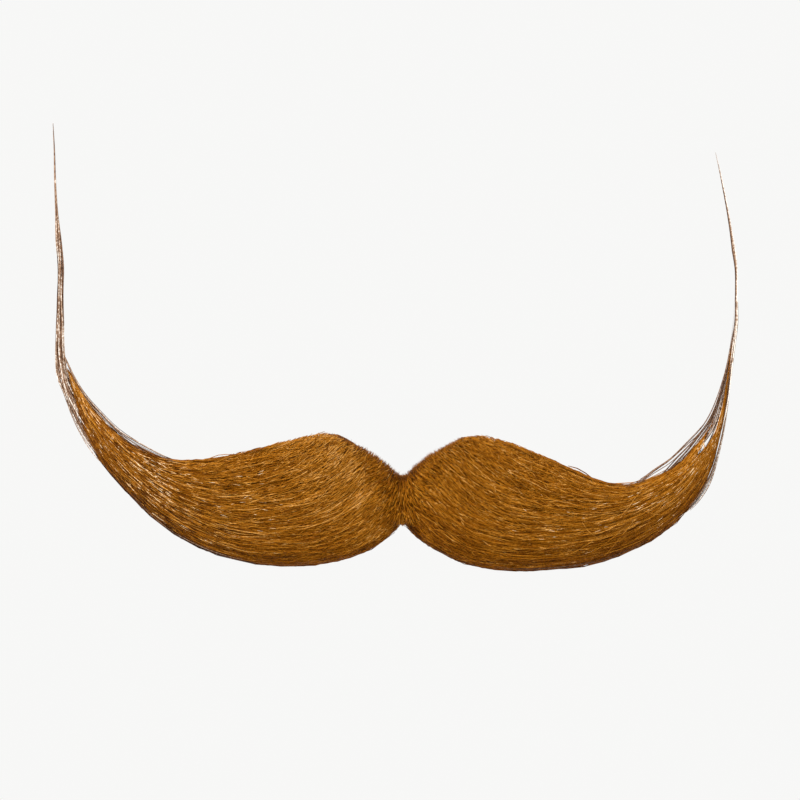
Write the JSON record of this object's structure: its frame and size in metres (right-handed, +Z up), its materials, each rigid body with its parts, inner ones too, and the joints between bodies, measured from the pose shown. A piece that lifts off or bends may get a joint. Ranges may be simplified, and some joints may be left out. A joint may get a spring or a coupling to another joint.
{
  "type": "fake moustache",
  "caption": "Long upswept handlebar moustache of synthetic hair: two full wings that end in thin waxed points, on a curved cloth backing with a short tuft in the parting.",
  "frame": {"origin": "middle of the back of the cloth backing, where it sits on the upper lip, at the height of the middle of the parting", "axes": "+X to the viewer's right along the span of the wings, +Y backwards out of the cloth's back towards the wearer, +Z up; the moustache stands as it is worn, looking towards -Y"},
  "size_m": [0.1758, 0.0386, 0.1156],
  "materials": {
    "hair": "ginger synthetic fibre with a soft satin shine, combed into locks",
    "backing_cloth": "matte fine woven cloth with rows of hair knots"
  },
  "bodies": {
    "root": {"backing": "backing_cloth", "left_wing": "hair", "right_wing": "hair", "centre_tuft": "hair"}
  },
  "joints": []
}
